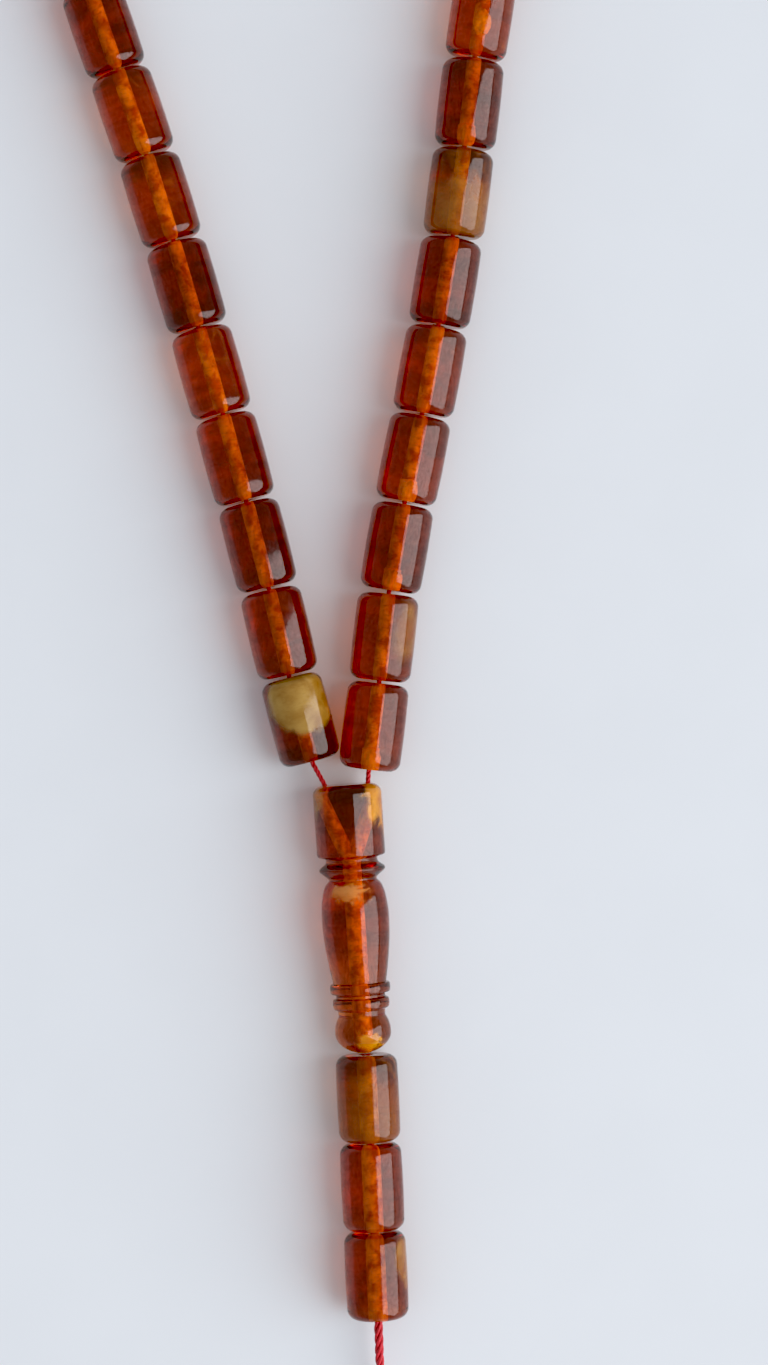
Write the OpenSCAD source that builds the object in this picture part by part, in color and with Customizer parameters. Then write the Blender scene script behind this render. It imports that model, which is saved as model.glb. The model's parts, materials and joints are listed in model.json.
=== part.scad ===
// Misbaha: a loop of barrel beads on one cord, joined by a long turned imam bead,
// with three tail beads and a tassel. It lies flat, with its bead axes level.

/* [Beads] */
// Diameter of a strand bead
bead_d = 8; // [7.6:0.1:8.2]
// Length of a strand bead
bead_l = 11.1; // [10.8:0.05:11.2]
// Bore through a strand bead
bead_bore = 1.2; // [1:0.05:1.4]
// Bore through a tail bead, which passes both ends of the cord
tail_bore = 1.6; // [1.5:0.05:1.8]
// Axial room between two tail beads
tail_gap = 0.25; // [0.15:0.05:0.3]
// Axial room between two beads on a straight run
bead_gap = 0.35; // [0.25:0.05:0.4]

/* [Dividers] */
// Diameter of a divider disc
divider_d = 7.4; // [7:0.1:7.8]
// Thickness of a divider disc
divider_t = 3.2; // [2.6:0.1:3.4]

/* [Imam] */
// Length of the imam bead
imam_l = 34.4; // [34:0.1:34.5]
// Diameter of the imam's head
imam_d = 8.8; // [8.6:0.1:9]
// Distance of each slanted bore's mouth from the imam's axis
mouth_x = 2.75; // [2.6:0.05:2.8]
// Depth at which the two slanted bores meet
meet_depth = 9.8; // [9.4:0.1:10.2]
// Diameter of each slanted bore
slant_bore = 1.35; // [1.2:0.05:1.4]

/* [Cord] */
// Diameter of the cord round the loop
cord_d = 0.65; // [0.5:0.05:0.7]
// Diameter of both cord ends twisted together
pair_d = 1.15; // [1:0.05:1.2]

/* [Tassel] */
// Diameter of the stopper knot
knot_d = 3; // [2.6:0.1:3.2]
// Diameter of the tassel's head
head_d = 6; // [5.6:0.1:6]
// Length of the tassel's head
head_l = 7; // [6.5:0.1:7.5]
// Length of the tassel's skirt
skirt_l = 42; // [38:1:44]
// Diameter of the skirt at its free end
skirt_d = 8.4; // [8:0.1:8.8]

/* [Hidden] */
$fn = 48;
left_count = 17;    // beads strung from the left mouth
right_count = 16;   // beads strung from the right mouth
group = 11;         // beads between one divider and the next
bead_count = left_count + right_count;

// Places below are laid out from the imam's top centre and moved to the origin at the end.
bead_z = bead_d / 2;
imam_top = [0, 0, 4.5];
imam_tip = [2.3, -34.3, 4.15];
tail_top = [2.5, -34.6, bead_z];
tail_dir = [0.047, -1, 0] / norm([0.047, -1, 0]);

// Route of the cord round the loop, from the left mouth up, over the top and down to the right.
loop_route = [
    [-3.6, 1.2], [-4.9, 4], [-6.1, 8.4], [-8.6, 19.4], [-11.3, 30.4], [-14.2, 41.4],
    [-17.2, 52.3], [-20.3, 63.2], [-23.7, 74.6], [-27.3, 85.6], [-31, 96.2], [-34.6, 107],
    [-37.8, 118], [-40.2, 129], [-41.2, 140], [-40.6, 150], [-37.6, 159.6], [-32.4, 167.4],
    [-26, 172.8], [-19.6, 175.8], [-16, 176.6], [-12, 177], [-6, 177.6], [0, 178.2],
    [3, 178.5], [8.6, 177.8], [14.6, 174.8], [20.2, 169.6], [24.6, 162], [27, 152.6],
    [27.4, 142], [25.4, 130.4], [22.3, 119.4], [19.2, 109], [17.2, 98.8], [15.7, 87.2],
    [14.4, 75.6], [12.6, 63.8], [10.6, 52.2], [8.4, 40.9], [6.3, 30], [4.7, 18.8],
    [3.7, 7.4], [3, 2.8], [2.7, 1]];

// Route of the free end of the cord, from the last tail bead to the tassel.
tail_route = [
    [4.1, -68.4, 4], [4.1, -70, 4], [4.2, -71.6, 4], [4.2, -73, 3.9], [4.3, -74.4, 3.6],
    [4.3, -75.8, 3.2], [4.3, -77.2, 2.6], [4.3, -78.6, 2], [4.2, -80, 1.5], [4.1, -81.6, 1.1],
    [4, -83.4, 0.8], [3.8, -85.4, 0.6], [3.6, -88, 0.6], [3.3, -91, 0.6], [3.1, -94, 0.6],
    [2.9, -96.6, 0.8], [2.8, -98.8, 1.4], [2.7, -100.6, 2.2], [2.6, -102.2, 2.8],
    [2.5, -103.8, 3]];

// ---- Curve helpers ----
// A point of the Catmull-Rom curve between b and c.
function spline_point(a, b, c, d, t) =
    0.5 * (2 * b + (c - a) * t + (2 * a - 5 * b + 4 * c - d) * t * t
        + (3 * b - a - 3 * c + d) * t * t * t);

// The route as a dense smooth polyline.
steps = 12;
last_point = len(loop_route) - 1;
smooth_route = [
    for (i = [0:last_point - 1], k = [0:steps - 1])
        spline_point(loop_route[max(i - 1, 0)], loop_route[i], loop_route[i + 1],
            loop_route[min(i + 2, last_point)], k / steps),
    loop_route[last_point]];
smooth_count = len(smooth_route);

// Length along the route at each of its points, and tables of place by length.
travel = [for (i = 0, s = 0; i < smooth_count;
    s = s + (i + 1 < smooth_count ? norm(smooth_route[i + 1] - smooth_route[i]) : 0), i = i + 1) s];
route_l = travel[smooth_count - 1];
x_at = [for (i = [0:smooth_count - 1]) [travel[i], smooth_route[i].x]];
y_at = [for (i = [0:smooth_count - 1]) [travel[i], smooth_route[i].y]];
function place(s) = [lookup(s, x_at), lookup(s, y_at)];
function heading(s) = let (v = place(s + 1) - place(s - 1)) atan2(v.y, v.x);

// ---- Stringing ----
// Each strung piece is [bead number, length]; number 0 is a divider.
left_pieces = concat(
    [for (i = [1:group]) [i, bead_l]], [[0, divider_t]],
    [for (i = [group + 1:left_count]) [i, bead_l]]);
right_pieces = concat(
    [for (i = [0:group - 1]) [bead_count - i, bead_l]], [[0, divider_t]],
    [for (i = [group:right_count - 1]) [bead_count - i, bead_l]]);

// Room that the next joint needs where the strand bends, so that end rims stay apart.
rim_r = 2.7;        // flat part of a bead's end face
function bend_room(s, way) = let (turn = abs(heading(s + way * bead_l / 2) - heading(s - way * bead_l / 2)))
    bead_gap + 2 * rim_r * tan(min(turn, 360 - turn) / 2);

first_left = 1.9;    // bare cord between the left mouth's end of the route and its first bead
first_right = 0.9;   // the same on the right
// Start of each piece along the route, strung one way from the route's end.
function starts(pieces, from, way) = [
    for (k = 0, s = from; k < len(pieces);
        s = k < len(pieces) ? s + way * (pieces[k][1] + bend_room(s + way * pieces[k][1], way)) : s, k = k + 1) s];
left_starts = starts(left_pieces, first_left, 1);
right_starts = starts(right_pieces, route_l - first_right, -1);

// Every piece as [number, near end, far end] in the order of the route.
strung = concat(
    [for (k = [0:len(left_pieces) - 1])
        [left_pieces[k][0], place(left_starts[k]), place(left_starts[k] + left_pieces[k][1])]],
    [for (k = [len(right_pieces) - 1:-1:0])
        [right_pieces[k][0], place(right_starts[k] - right_pieces[k][1]), place(right_starts[k])]]);

beads = [for (p = strung) if (p[0] > 0) p];
dividers = [for (p = strung) if (p[0] == 0) p];
function mid(p) = (p[1] + p[2]) / 2;

// ---- Origin: under the middle of the beads' box, on the surface they lie on ----
function reach(p, k) = let (d = (p[2] - p[1]) / norm(p[2] - p[1]))
    abs(d[k]) * bead_l / 2 + abs(d[1 - k]) * bead_d / 2;
tail_centres = [for (i = [0:2]) tail_top + tail_dir * (bead_l / 2 + i * (bead_l + tail_gap))];
x_low = min([for (p = beads) mid(p).x - reach(p, 0)]);
x_high = max([for (p = beads) mid(p).x + reach(p, 0)]);
y_low = tail_centres[2].y - bead_l / 2;
y_high = max([for (p = beads) mid(p).y + reach(p, 1)]);
shift = -[(x_low + x_high) / 2, (y_low + y_high) / 2, 0];

// ---- Node names ----
function number(i) = i < 10 ? str("0", i) : str(i);

// ---- Shared shapes ----
// Stands a child's Z axis along the line from one point to another.
module along(a, b) {
    v = b - a;
    translate(a) rotate([0, acos(v.z / norm(v)), atan2(v.y, v.x)]) children();
}

// A cord: one tube swept along points, with its rings level across.
module tube(points, d, sides = 8) {
    n = len(points);
    function way(i) = let (v = points[min(i + 1, n - 1)] - points[max(i - 1, 0)]) v / norm(v);
    function side(w) = let (v = [-w.y, w.x, 0]) v / norm(v);
    rings = [for (i = [0:n - 1], k = [0:sides - 1])
        let (w = way(i), s = side(w), u = cross(w, s), a = 360 * k / sides)
            points[i] + d / 2 * (cos(a) * s + sin(a) * u)];
    walls = [for (i = [0:n - 2], k = [0:sides - 1])
        let (a = i * sides + k, b = i * sides + (k + 1) % sides) [a, b, b + sides, a + sides]];
    first_cap = [for (k = [sides - 1:-1:0]) k];
    last_cap = [for (k = [0:sides - 1]) (n - 1) * sides + k];
    polyhedron(rings, concat(walls, [first_cap, last_cap]), convexity = 10);
}

// Half outline of a barrel bead, from the bore wall round one softly rounded rim.
rim_round = 1.35;
side_swell = 0.06;   // how much thinner the bead is at its rims than at its middle
function rim(d, l, round_r) = [for (t = [0:15:90])
    [d / 2 - side_swell - round_r * (1 - sin(t)), l / 2 - round_r * (1 - cos(t))]];
function mirrored(points) = [for (i = [len(points) - 1:-1:0]) [points[i].x, -points[i].y]];
module barrel(d, l, bore, round_r) {
    lip = 0.15;      // break at the bore's mouth
    half = concat([[bore / 2, l / 2 - lip], [bore / 2 + lip, l / 2]], rim(d, l, round_r), [[d / 2, 0]]);
    rotate_extrude() polygon(concat(half, mirrored(half)));
}

function level(p, z) = [p.x, p.y, z];

// ---- Imam bead ----
// Stations of the turned outline: [radius, distance below the top].
imam_r = imam_d / 2;
head_depth = 9.2;    // where the head ends and the groove above the collar begins
head_outline = concat([[0, 0], [imam_r - 1.5, 0]],
    [for (t = [15:15:90]) [imam_r - 1.5 + 1.5 * sin(t), 1.2 * (1 - cos(t))]],
    [[imam_r, 3], [imam_r - 0.02, head_depth - 0.3], [imam_r - 0.25, head_depth], [3.35, head_depth + 0.25]]);
collar_outline = [[3.3, 9.8], [3.45, 10.1], [4.05, 10.55], [4.25, 10.85], [4.1, 11.2],
    [3.5, 11.75], [3.1, 12]];
vase_outline = concat([[3.05, 12.3]],
    [for (t = [20:14:90]) [3.05 + 1.27 * sin(t), 17.2 - 4.8 * cos(t)]],
    [for (t = [10:10:60]) [3.4 + 0.92 * cos(t * 1.5), 17.2 + 8.2 * t / 60]]);
ring_outline = [[3.75, 25.5], [3.85, 25.8], [3.85, 26.4], [3.7, 26.7], [3.15, 26.9], [3.15, 27.3],
    [3.5, 27.45], [3.6, 27.8], [3.6, 28.4], [3.45, 28.7], [3.05, 28.9], [3.05, 29.3]];
ball_outline = concat(
    [for (t = [-50:12.5:0]) [3.6 * cos(t * 0.68), 31.8 + 2.75 * sin(t)]],
    [for (t = [12:12:72]) [3.6 * cos(t), 31.8 + (imam_l - 31.8) * sin(t)]]);
// The whole outline, from the middle of the top to the middle of the tip.
imam_outline = concat(head_outline, collar_outline, vase_outline, ring_outline, ball_outline,
    [[0.9, imam_l], [0, imam_l]]);
// A slanted rod from the meeting point out through a mouth, in the imam's own axes.
module slanted(way, d, past) {
    translate([0, 0, meet_depth]) rotate([0, 180 - way * atan2(mouth_x, meet_depth), 90])
        translate([0, 0, -0.2]) cylinder(d = d, h = norm([mouth_x, meet_depth]) + 0.2 + past);
}

module imam() {
    color("#7a2a08") along(imam_top + shift, imam_tip + shift) difference() {
        rotate_extrude() polygon(imam_outline);
        translate([0, 0, meet_depth - 0.6]) cylinder(d = tail_bore, h = imam_l);
        for (way = [-1, 1]) slanted(way, slant_bore, 2);
    }
}

// Both ends of the cord inside the imam: in through the mouths, out together at the tip.
cord_inset = 0.7;    // how far inside each mouth this cord stops, where the loop's cord takes over
module imam_cord() {
    color("#c4152a") along(imam_top + shift, imam_tip + shift) {
        translate([0, 0, meet_depth - 0.3]) cylinder(d = pair_d, h = imam_l - meet_depth);
        for (way = [-1, 1]) slanted(way, cord_d, -cord_inset);
    }
}

// ---- Strand ----
module strand_bead(i) {
    p = beads[i - 1];
    color(i % 4 == 0 ? "#b0601c" : i % 2 == 0 ? "#96380c" : "#82280a")
        translate(level(mid(p) + [shift.x, shift.y], bead_z))
            rotate([0, 90, atan2(p[2].y - p[1].y, p[2].x - p[1].x)])
                barrel(bead_d, bead_l, bead_bore, rim_round);
}

module divider(i) {
    p = dividers[i];
    color("#a8500f") translate(level(mid(p) + [shift.x, shift.y], bead_z))
        rotate([0, 90, atan2(p[2].y - p[1].y, p[2].x - p[1].x)])
            barrel(divider_d, divider_t, bead_bore, 1);
}

// The cord runs straight through each piece and bends only between pieces.
module loop_cord() {
    mouth_z = 4.45;
    legs = [[-2.85, 0.3, mouth_z], [2.8, 0.6, mouth_z]];
    points = concat([legs[0]],
        [for (p = strung, end = [1, 2]) level(p[end], bead_z)],
        [legs[1]]);
    color("#c4152a") tube([for (q = points) q + shift], cord_d);
}

// ---- Tail ----
module tail_bead(i) {
    color(i == 1 ? "#b3651a" : "#9a4010") translate(tail_centres[i - 1] + shift)
        rotate([0, 90, atan2(tail_dir.y, tail_dir.x)]) barrel(bead_d, bead_l, tail_bore, rim_round);
}

module tail_core() {
    run = 3 * bead_l + 2 * tail_gap;
    color("#c4152a") along(tail_top + shift, tail_top + shift + tail_dir)
        cylinder(d = pair_d, h = run);
}

module tail_cord() {
    color("#c4152a") tube([for (q = tail_route) q + shift], pair_d);
}

// ---- Tassel: everything is strung on from the knot's centre, away from the tail ----
knot_centre = tail_route[len(tail_route) - 1] + [-0.05, -knot_d / 2 - 0.1, 0];
knot_flat = 0.8 * knot_d / 2;   // the knot is pressed flat where it meets the head
head_start = knot_flat;
binding_l = 2.4;
binding_d = 5.2;
skirt_start = head_start + head_l + binding_l + 0.1;   // room for the tilt of the skirt
module from_knot(a) { translate(knot_centre + shift) rotate([90, 0, 0]) translate([0, 0, a]) children(); }

module end_knot() {
    color("#b01226") from_knot(0) rotate_extrude() polygon(concat(
        [for (t = [-90:15:45]) knot_d / 2 * [cos(t), sin(t)]],
        [[knot_flat * 0.75, knot_flat], [0, knot_flat]]));
}

module tassel_head() {
    color("#b01226") from_knot(head_start) rotate_extrude() polygon(concat(
        [[0, 0], [0.9, 0]],
        [for (t = [-75:15:40]) [head_d / 2 * cos(t), head_l / 2 * (1 + sin(t)) * 1.02]],
        [[2.2, head_l], [0, head_l]]));
}

module tassel_binding() {
    color("#8c0f20") from_knot(head_start + head_l) rotate_extrude() polygon([
        [0, 0], [binding_d / 2 - 0.3, 0], [binding_d / 2, 0.4], [binding_d / 2, binding_l - 0.4],
        [binding_d / 2 - 0.3, binding_l], [0, binding_l]]);
}

module tassel_skirt() {
    start = knot_centre + shift - [0, skirt_start, 0];
    finish = [start.x, start.y - skirt_l, skirt_d / 2];
    color("#b01226") along(start, finish) rotate_extrude() polygon([
        [0, 0], [2.3, 0], [3, skirt_l * 0.16], [skirt_d / 2 - 0.5, skirt_l * 0.6],
        [skirt_d / 2 - 0.05, skirt_l], [0, skirt_l]]);
}

imam();
imam_cord();
loop_cord();
for (i = [1:bead_count]) strand_bead(i);
divider(0);  // divider_left
divider(1);  // divider_right
for (i = [1:3]) tail_bead(i);
tail_core();
tail_cord();
end_knot();
tassel_head();
tassel_binding();
tassel_skirt();
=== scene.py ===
"""A misbaha of amber barrel beads on a twisted red cord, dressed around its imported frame."""
import json
import logging
import math
import random
from dataclasses import dataclass, field
from enum import Enum
from typing import Any, Callable, Iterable, Sequence, Union

import bpy
from mathutils import Matrix, Vector, noise


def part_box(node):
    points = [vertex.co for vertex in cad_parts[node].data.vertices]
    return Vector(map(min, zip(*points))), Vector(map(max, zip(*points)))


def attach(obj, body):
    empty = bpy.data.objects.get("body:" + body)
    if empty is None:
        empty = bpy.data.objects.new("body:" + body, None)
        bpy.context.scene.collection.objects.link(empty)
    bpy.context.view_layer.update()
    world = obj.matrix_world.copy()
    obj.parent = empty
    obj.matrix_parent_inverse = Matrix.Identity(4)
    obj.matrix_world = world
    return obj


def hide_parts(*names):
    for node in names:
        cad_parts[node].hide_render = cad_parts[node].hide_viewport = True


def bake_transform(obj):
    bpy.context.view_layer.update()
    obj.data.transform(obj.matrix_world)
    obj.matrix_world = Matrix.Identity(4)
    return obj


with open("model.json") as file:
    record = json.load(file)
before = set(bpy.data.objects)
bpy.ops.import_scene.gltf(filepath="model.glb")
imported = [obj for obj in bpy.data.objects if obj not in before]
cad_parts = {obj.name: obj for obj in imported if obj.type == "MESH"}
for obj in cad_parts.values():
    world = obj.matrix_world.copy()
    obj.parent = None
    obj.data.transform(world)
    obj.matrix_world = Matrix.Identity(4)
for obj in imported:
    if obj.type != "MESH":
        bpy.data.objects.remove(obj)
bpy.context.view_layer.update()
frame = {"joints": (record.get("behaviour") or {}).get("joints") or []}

LOG = logging.getLogger("misbaha")
MM = 0.001
Triple = tuple[float, float, float]
Colour = Triple
Piece = bpy.types.Object
Material = bpy.types.Material
Outline = Sequence[tuple[float, float]]
Line = Sequence[Vector]
Mesh = tuple[list[Vector], list[list[int]]]     # points, and faces as point numbers
NOTHING = 1e-9


# ---- shader language
class Value:
    """One output socket of a node tree, with arithmetic that adds Math nodes."""

    def __init__(self, shader: "Shader", socket: bpy.types.NodeSocket) -> None:
        """Wraps an output socket of a material in the making."""
        self.shader = shader
        self.socket = socket

    def _math(self, operation: str, first: Any, second: Any) -> "Value":
        """The result of one Math node on two values."""
        return self.shader.node("ShaderNodeMath", {"operation": operation}, {0: first, 1: second})

    def __add__(self, other: Any) -> "Value":
        """Sum."""
        return self._math("ADD", self, other)

    def __radd__(self, other: Any) -> "Value":
        """Sum, reflected."""
        return self._math("ADD", other, self)

    def __sub__(self, other: Any) -> "Value":
        """Difference."""
        return self._math("SUBTRACT", self, other)

    def __rsub__(self, other: Any) -> "Value":
        """Difference, reflected."""
        return self._math("SUBTRACT", other, self)

    def __mul__(self, other: Any) -> "Value":
        """Product."""
        return self._math("MULTIPLY", self, other)

    def __rmul__(self, other: Any) -> "Value":
        """Product, reflected."""
        return self._math("MULTIPLY", other, self)

    def between(self, low: float, high: float) -> "Value":
        """A soft step from 0 at the low value to 1 at the high one."""
        return self.shader.node("ShaderNodeMapRange", {"interpolation_type": "SMOOTHSTEP"},
                                {"Value": self, "From Min": low, "From Max": high})


class Shader:
    """Builds one material from nodes."""

    def __init__(self, name: str) -> None:
        """Starts an empty material.

        Args:
            name: the material's name.
        """
        self.material = bpy.data.materials.new(name)
        self.material.use_nodes = True
        self.tree = self.material.node_tree
        self.tree.nodes.clear()

    def node(self, kind: str, settings: dict[str, Any], inputs: dict[Any, Any],
             output: Union[int, str] = 0) -> Value:
        """Adds a node of any kind.

        Args:
            kind: the node's type.
            settings: its own settings, set before its sockets.
            inputs: values or links for its sockets, by name or number.
            output: the output socket to hand back, by name or number.

        Returns:
            The chosen output.
        """
        node = self.tree.nodes.new(kind)
        for key, value in settings.items():
            setattr(node, key, value)
        for key, value in inputs.items():
            self._feed(node.inputs[key], value)
        return Value(self, node.outputs[output])

    def _feed(self, socket: bpy.types.NodeSocket, value: Any) -> None:
        """Links or sets one input socket.

        Args:
            socket: the input.
            value: a Value to link, or a constant.
        """
        if isinstance(value, Value):
            self.tree.links.new(value.socket, socket)
        elif isinstance(value, tuple) and socket.type == "RGBA" and len(value) == 3:
            socket.default_value = (*value, 1.0)
        else:
            socket.default_value = value

    def place(self, stretch: Triple = (1, 1, 1), shift: Triple = (0, 0, 0)) -> Value:
        """The point on the piece in millimetres, in the piece's own axes.

        Args:
            stretch: factor on each axis.
            shift: moves the pattern, in millimetres.

        Returns:
            A vector.
        """
        here = self.node("ShaderNodeTexCoord", {}, {}, "Object")
        scaled = tuple(v / MM for v in stretch)
        return self.node("ShaderNodeVectorMath", {"operation": "MULTIPLY_ADD"},
                         {0: here, 1: scaled, 2: shift})

    def part(self, vector: Value, axis: str) -> Value:
        """One component of a vector."""
        return self.node("ShaderNodeSeparateXYZ", {}, {0: vector}, axis)

    def clouds(self, where: Value, scale: float, detail: float = 3.0, twist: float = 0.0) -> Value:
        """Soft noise round 0.5, with this many features per millimetre."""
        return self.node("ShaderNodeTexNoise", {},
                         {"Vector": where, "Scale": scale, "Detail": detail, "Distortion": twist}, "Fac")

    def mix(self, share: Any, first: Any, second: Any) -> Value:
        """A blend of two colours, with this share of the second."""
        return self.node("ShaderNodeMix", {"data_type": "RGBA"}, {0: share, 6: first, 7: second}, 2)

    def blend(self, share: Any, first: Value, second: Value) -> Value:
        """A blend of two surfaces, with this share of the second."""
        return self.node("ShaderNodeMixShader", {}, {0: share, 1: first, 2: second})

    def clear(self, colour: Colour) -> Value:
        """A surface that lets light straight through, tinted."""
        return self.node("ShaderNodeBsdfTransparent", {}, {"Color": colour})

    def bump(self, height: Value, depth_mm: float, strength: float = 1.0) -> Value:
        """A normal from a height, where 0 to 1 reaches this depth."""
        return self.node("ShaderNodeBump", {},
                         {"Height": height, "Distance": depth_mm * MM, "Strength": strength})

    def surface(self, inputs: dict[str, Any]) -> Value:
        """A Principled shader with the given sockets."""
        return self.node("ShaderNodeBsdfPrincipled", {}, inputs)

    def finish(self, surface: Value, volume: Union[Value, None] = None) -> Material:
        """Closes the material.

        Args:
            surface: its surface shader.
            volume: its volume shader, if it has one.

        Returns:
            The material.
        """
        inputs = {"Surface": surface} if volume is None else {"Surface": surface, "Volume": volume}
        out = self.tree.nodes.new("ShaderNodeOutputMaterial")
        for key, value in inputs.items():
            self._feed(out.inputs[key], value)
        return self.material


# ---- finishes
AMBER_IOR = 1.54
AMBER_SHADOW = (0.42, 0.41, 0.32)   # tint of the light that a bead lets through to the sheet


@dataclass(frozen=True)
class Tone:
    """The colours of one kind of amber."""

    deep: Colour        # tint of the darker flow bands
    light: Colour       # tint of the clearer amber
    passes: Colour      # what the body lets through, per unit of density
    density: float      # how strongly the body absorbs, per metre
    cloud: Colour       # colour of milky patches
    milk: float         # how much of the surface they take


class Amber(Enum):
    """The ambers of this strand."""

    CHERRY = Tone((0.40, 0.18, 0.05), (0.94, 0.66, 0.26), (0.895, 0.54, 0.04), 590,
                  (0.22, 0.035, 0.003), 0.22)
    COGNAC = Tone((0.50, 0.26, 0.07), (1.0, 0.78, 0.34), (0.91, 0.57, 0.04), 560,
                  (0.36, 0.075, 0.005), 0.25)
    HONEY = Tone((0.64, 0.36, 0.10), (1.0, 0.88, 0.42), (0.93, 0.61, 0.05), 530,
                 (0.50, 0.13, 0.008), 0.30)
    OCHRE = Tone((0.58, 0.34, 0.10), (1.0, 0.80, 0.36), (0.91, 0.63, 0.08), 510,
                 (0.34, 0.10, 0.006), 0.50)


@dataclass(frozen=True)
class Patch:
    """A milky region that shows at the skin of a bead, in the bead's own axes, in millimetres."""

    centre: Triple
    size: Triple
    colour: Colour
    vein: Colour
    solid: float = 0.9
    ragged: float = 0.5
    fade: float = 0.1       # width of its soft edge, as a share of its size
    grain: float = 0.45     # waves of its ragged edge per millimetre

    def share(self, s: Shader) -> Value:
        """How much of the surface the patch takes, place by place.

        Args:
            s: the material's nodes.

        Returns:
            A value from 0 to the patch's own strength.
        """
        grow = tuple(1 / v for v in self.size)
        inside = s.place(grow, tuple(-c / v for c, v in zip(self.centre, self.size)))
        reach = s.node("ShaderNodeVectorMath", {"operation": "LENGTH"}, {0: inside}, "Value")
        edge = (s.clouds(s.place(), self.grain, 6.0, 0.9) - 0.5) * (2.2 * self.ragged)
        return (1 - reach + edge).between(-self.fade, self.fade) * self.solid

    def surface(self, s: Shader, polish: Any, skin: Value) -> Value:
        """The patch's own surface.

        Args:
            s: the material's nodes.
            polish: its roughness.
            skin: its normal.

        Returns:
            A surface shader.
        """
        veins = s.clouds(s.place((0.6, 1, 0.9)), 0.45, 6.0, 0.3)
        fine = s.clouds(s.place((0.8, 1, 2.6)), 1.8, 5.0, 0.2)
        tint = s.mix(veins.between(0.25, 0.75), self.colour, self.vein)
        tint = s.mix(fine.between(0.45, 0.8) * 0.22, tint, tuple(c * 0.55 for c in self.colour))
        return s.surface({"Base Color": tint, "Roughness": polish, "IOR": AMBER_IOR, "Normal": skin})


@dataclass(frozen=True)
class AmberFinish:
    """Polished amber with flow bands, milky clouds and fine wear."""

    tone: Tone
    seed: float = 0.0
    dark_end: float = 0.0       # +1 darkens the +Z end, -1 the other
    half_length: float = 5.55   # mm
    dark_from: float = 0.0      # mm along Z, where the darkening is halfway to its start
    patches: tuple[Patch, ...] = ()

    def build(self, name: str) -> Material:
        """Makes the material.

        Args:
            name: its name.

        Returns:
            The material.
        """
        s = Shader(name)
        drift = (self.seed * 7.3, self.seed * 3.1, self.seed * 5.7)
        here = s.place()
        cloudy = s.clouds(s.place((1, 1, 0.55), drift), 0.34, 4.0, 1.1)
        banded = s.clouds(s.place((0.25, 0.25, 1.1), drift), 0.42, 3.0, 0.7)
        streaks = s.clouds(s.place((1, 1, 0.5), drift[::-1]), 0.85, 5.0, 1.4)
        flow = (cloudy * 0.45 + banded * 0.2 + streaks * 0.35).between(0.40, 0.60)
        tint = s.mix(flow, self.tone.deep, self.tone.light)
        along = (s.part(here, "Z") - self.dark_from) * (self.dark_end / self.half_length)
        tip = (along + (cloudy - 0.5) * 0.7).between(0.25, 0.75) * (0.8 if self.dark_end else 0.0)
        tint = s.mix(tip, tint, tuple(c * 0.35 for c in self.tone.deep))
        wear = s.clouds(s.place((1, 1, 1), drift), 2.6, 3.0)
        polish = wear.between(0.35, 0.8) * 0.06 + 0.04
        skin = s.bump(wear, 0.004, 0.5)
        clear = s.surface({
            "Base Color": tint, "Roughness": polish, "IOR": AMBER_IOR,
            "Transmission Weight": 1.0, "Normal": skin,
        })
        milky = s.surface({
            "Base Color": s.mix(cloudy.between(0.45, 0.65), self.tone.cloud,
                                tuple(min(1.0, c * 1.6) for c in self.tone.cloud)),
            "Roughness": polish, "IOR": AMBER_IOR, "Normal": skin,
        })
        veil = s.clouds(s.place((1, 1, 0.7), drift[::-1]), 0.5, 5.0, 1.6)
        share = veil.between(0.62 - 0.3 * self.tone.milk, 0.95 - 0.3 * self.tone.milk) * self.tone.milk
        body = s.blend(share, clear, milky)
        for patch in self.patches:
            body = s.blend(patch.share(s), body, patch.surface(s, polish, skin))
        to_lamp = s.node("ShaderNodeLightPath", {}, {}, "Is Shadow Ray")
        absorbs = s.node("ShaderNodeVolumeAbsorption", {},
                         {"Color": self.tone.passes, "Density": self.tone.density})
        return s.finish(s.blend(to_lamp, body, s.clear(AMBER_SHADOW)), absorbs)


@dataclass(frozen=True)
class BoreFinish:
    """The unpolished wall of a drilled bore, which catches the light inside the amber and also has a painted
    glow.
    """

    colour: Colour = (0.94, 0.64, 0.14)
    shade: Colour = (0.52, 0.14, 0.012)
    glow: float = 0.125     # painted glow: emission that stands in for light the amber round it scatters into it
    seed: float = 0.0

    def build(self, name: str) -> Material:
        """Makes the material.

        Args:
            name: its name.

        Returns:
            The material.
        """
        s = Shader(name)
        drift = (self.seed * 3.7, self.seed * 5.3, self.seed * 2.9)
        score = s.clouds(s.place((1, 1, 2.2), drift), 1.6, 4.0, 0.5)
        flakes = s.clouds(s.place((1, 1, 0.7), drift), 0.9, 6.0, 0.3)
        tint = s.mix(flakes.between(0.36, 0.64), self.shade, self.colour)
        frosted = s.surface({
            "Base Color": tint, "Roughness": score * 0.3 + 0.5, "Normal": s.bump(score, 0.05, 0.9),
            # painted glow: the wall emits its own mottled tint, standing in for scattered light
            "Emission Color": tint, "Emission Strength": self.glow,
        })
        thin = score.between(0.45, 0.75) * 0.3      # where the wall is polished enough to see through
        return s.finish(s.blend(thin, frosted, s.clear((1.0, 0.75, 0.5))))


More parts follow.
